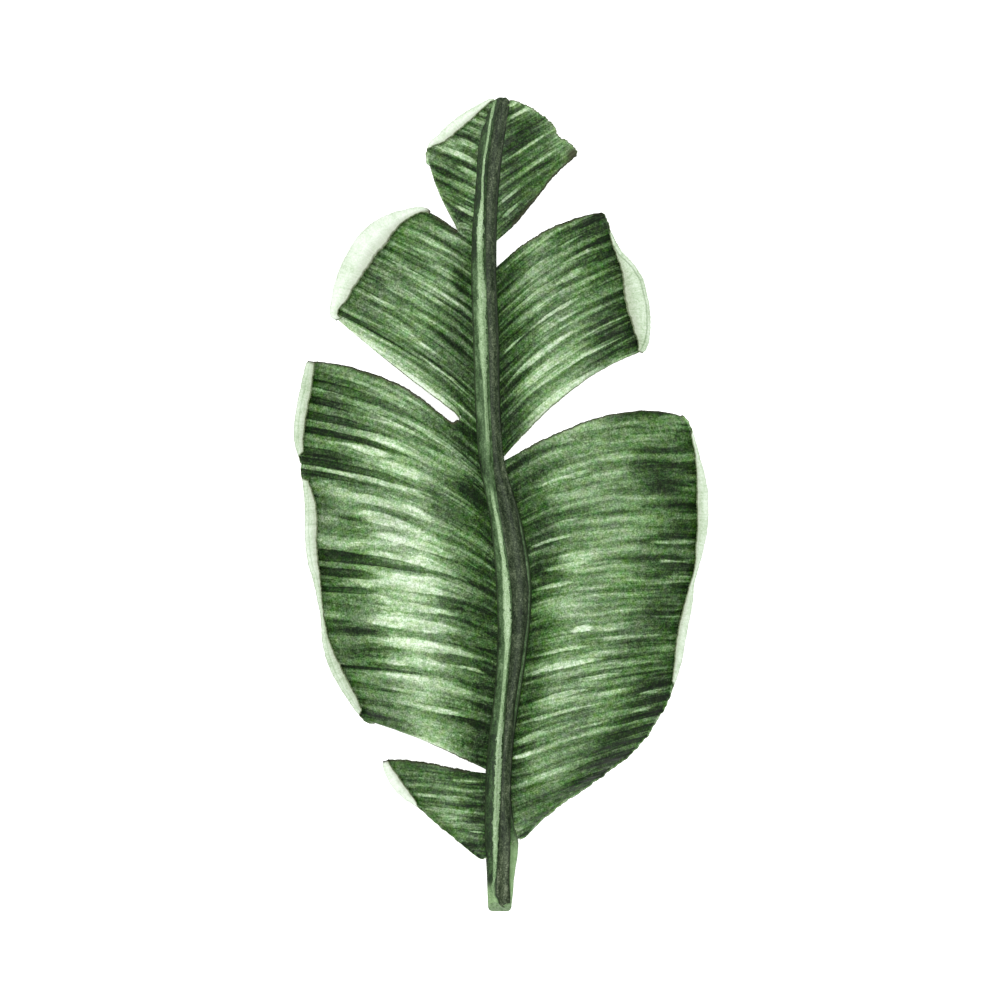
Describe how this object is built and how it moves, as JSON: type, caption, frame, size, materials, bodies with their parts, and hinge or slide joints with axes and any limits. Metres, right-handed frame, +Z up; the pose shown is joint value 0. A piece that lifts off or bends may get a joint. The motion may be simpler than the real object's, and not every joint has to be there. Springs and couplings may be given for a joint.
{
  "type": "banana leaf",
  "caption": "Cut banana leaf lying face up: a channelled midrib with a short petiole and two arched, pleated, torn blade halves with rolled rims.",
  "frame": {"origin": "on the surface that the leaf lies on, under the middle of the leaf's outline", "axes": "+Y along the midrib from the cut petiole to the tip, +X to the right as the upper face is looked down on, +Z up from the surface"},
  "size_m": [0.4166, 0.8151, 0.0418],
  "materials": {
    "leaf": "satin"
  },
  "bodies": {
    "root": {"banana_leaf": "leaf"}
  },
  "joints": []
}
